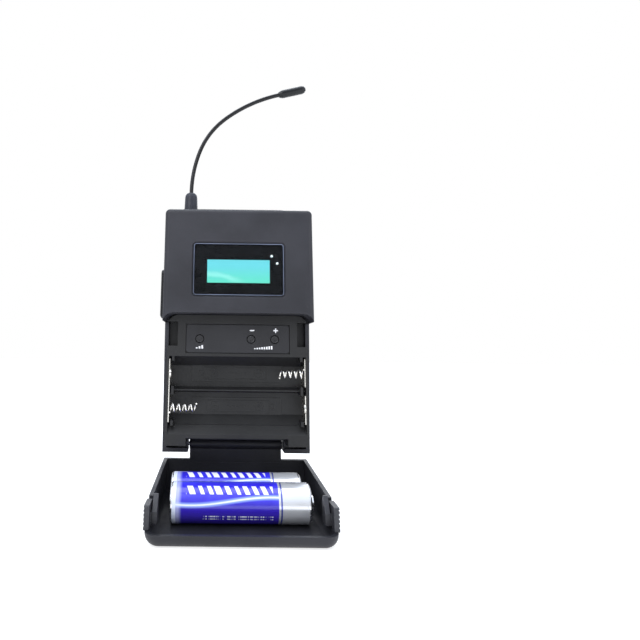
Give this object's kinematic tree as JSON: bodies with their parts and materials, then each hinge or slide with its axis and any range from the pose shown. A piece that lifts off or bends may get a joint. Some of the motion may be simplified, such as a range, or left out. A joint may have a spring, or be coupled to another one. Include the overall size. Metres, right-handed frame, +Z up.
{
  "type": "wireless bodypack transmitter",
  "caption": "Belt-worn wireless audio pack with a display head, a hinged battery door lying open, a bent whip antenna and a wire belt clip.",
  "frame": {"origin": "on the open door's flat outer face, which the unit stands on, under the middle of the case", "axes": "+Z up along the case, the display faces -Y, +X to the right seen from the front"},
  "size_m": [0.069, 0.0608, 0.1878],
  "materials": {
    "case_plastic": "fine-textured black ABS",
    "frame_plastic": "smooth satin black plastic",
    "panel_plastic": "satin black plastic",
    "button_plastic": "satin black plastic",
    "window_plastic": "polished smoked acrylic",
    "mask_print": "black printed film",
    "lcd": "back-lit liquid crystal panel",
    "light_box": "white diffuser",
    "indicator": "clear moulded lens",
    "board": "green solder mask",
    "chip_epoxy": "black epoxy",
    "connector": "cream nylon",
    "tin_plate": "tin-plated steel",
    "contact_steel": "nickel-plated spring steel",
    "switch": "black switch body",
    "antenna_rubber": "satin black rubber",
    "collar_plastic": "satin black plastic",
    "cell_metal": "bright nickel-plated can",
    "cell_sleeve": "printed blue shrink sleeve",
    "clip_wire": "black-coated spring wire",
    "anchor_wire": "black-coated spring wire",
    "screw_steel": "black-oxide steel",
    "plate_print": "satin printed plate",
    "pin_steel": "plain steel pin",
    "knob_plastic": "satin black plastic",
    "shaft_metal": "turned metal",
    "catch_plastic": "satin black plastic"
  },
  "bodies": {
    "case": {"antenna_boot": "antenna_rubber", "antenna_collar": "collar_plastic", "antenna_tip": "antenna_rubber", "antenna_whip": "antenna_rubber", "battery_frame": "frame_plastic", "board_chips": "chip_epoxy", "board_connector": "connector", "case_screws": "screw_steel", "clip_anchor_left": "anchor_wire", "clip_anchor_right": "anchor_wire", "contact_plate_left": "contact_steel", "contact_plate_right_lower": "contact_steel", "contact_plate_right_upper": "contact_steel", "contact_spring_lower": "contact_steel", "contact_spring_upper": "contact_steel", "control_panel": "panel_plastic", "display_light_box": "light_box", "display_mask": "mask_print", "display_module": "lcd", "display_window": "window_plastic", "front_board": "board", "head_shell": "case_plastic", "hinge_pin": "pin_steel", "indicator_lights": "indicator", "main_board": "board", "plug_socket": "collar_plastic", "radio_shield": "tin_plate", "rear_plate": "plate_print", "rear_shell": "case_plastic", "rotary_control": "switch", "tact_switches": "switch", "top_pad": "collar_plastic"},
    "door": {"door_shell": "case_plastic", "hinge_leaf": "case_plastic"},
    "cells": {"cell_rear_can": "cell_metal", "cell_rear_sleeve": "cell_sleeve", "cell_front_can": "cell_metal", "cell_front_sleeve": "cell_sleeve"},
    "left_catch": {"catch_left": "catch_plastic"},
    "right_catch": {"catch_right": "catch_plastic"},
    "channel_key": {"button_channel": "button_plastic"},
    "volume_down_key": {"button_volume_down": "button_plastic"},
    "volume_up_key": {"button_volume_up": "button_plastic"},
    "dial": {"knob": "knob_plastic", "knob_shaft": "shaft_metal"},
    "clip": {"belt_clip": "clip_wire"}
  },
  "joints": [
    {"name": "door_hinge", "type": "hinge", "parent": "case", "child": "door", "pos_m": [0, 0.0095, 0.022], "axis": [-1, 0, 0], "range_deg": [0, 90], "deforming": ["contact_spring_upper", "contact_spring_lower"]},
    {"name": "cells_roll", "type": "slide", "parent": "door", "child": "cells", "axis": [0, 1, 0], "range_m": [0, 0.00451]},
    {"name": "left_catch_press", "type": "slide", "parent": "door", "child": "left_catch", "axis": [1, 0, 0], "range_m": [0, 0.0012], "stiffness_N_per_m": 900, "springref_m": -0.0006},
    {"name": "right_catch_press", "type": "slide", "parent": "door", "child": "right_catch", "axis": [-1, 0, 0], "range_m": [0, 0.0012], "stiffness_N_per_m": 900, "springref_m": -0.0006},
    {"name": "channel_press", "type": "slide", "parent": "case", "child": "channel_key", "axis": [0, 1, 0], "range_m": [0, 0.0006], "stiffness_N_per_m": 2500, "springref_m": -0.0002},
    {"name": "volume_down_press", "type": "slide", "parent": "case", "child": "volume_down_key", "axis": [0, 1, 0], "range_m": [0, 0.0006], "stiffness_N_per_m": 2500, "springref_m": -0.0002},
    {"name": "volume_up_press", "type": "slide", "parent": "case", "child": "volume_up_key", "axis": [0, 1, 0], "range_m": [0, 0.0006], "stiffness_N_per_m": 2500, "springref_m": -0.0002},
    {"name": "dial_turn", "type": "hinge", "parent": "case", "child": "dial", "pos_m": [0.0181, 0.0052, 0.1207], "axis": [0, 0, 1], "range_deg": [-150, 150]},
    {"name": "clip_flex", "type": "hinge", "parent": "case", "child": "clip", "pos_m": [0, 0.0132, 0.0977], "axis": [1, 0, 0], "range_deg": [0, 12], "stiffness_Nm_per_rad": 0.6, "springref_deg": -1.72}
  ],
  "couplings": [
    {"joint": "cells_roll", "follows": "door_hinge", "m_per_rad": 0.0028648}
  ]
}
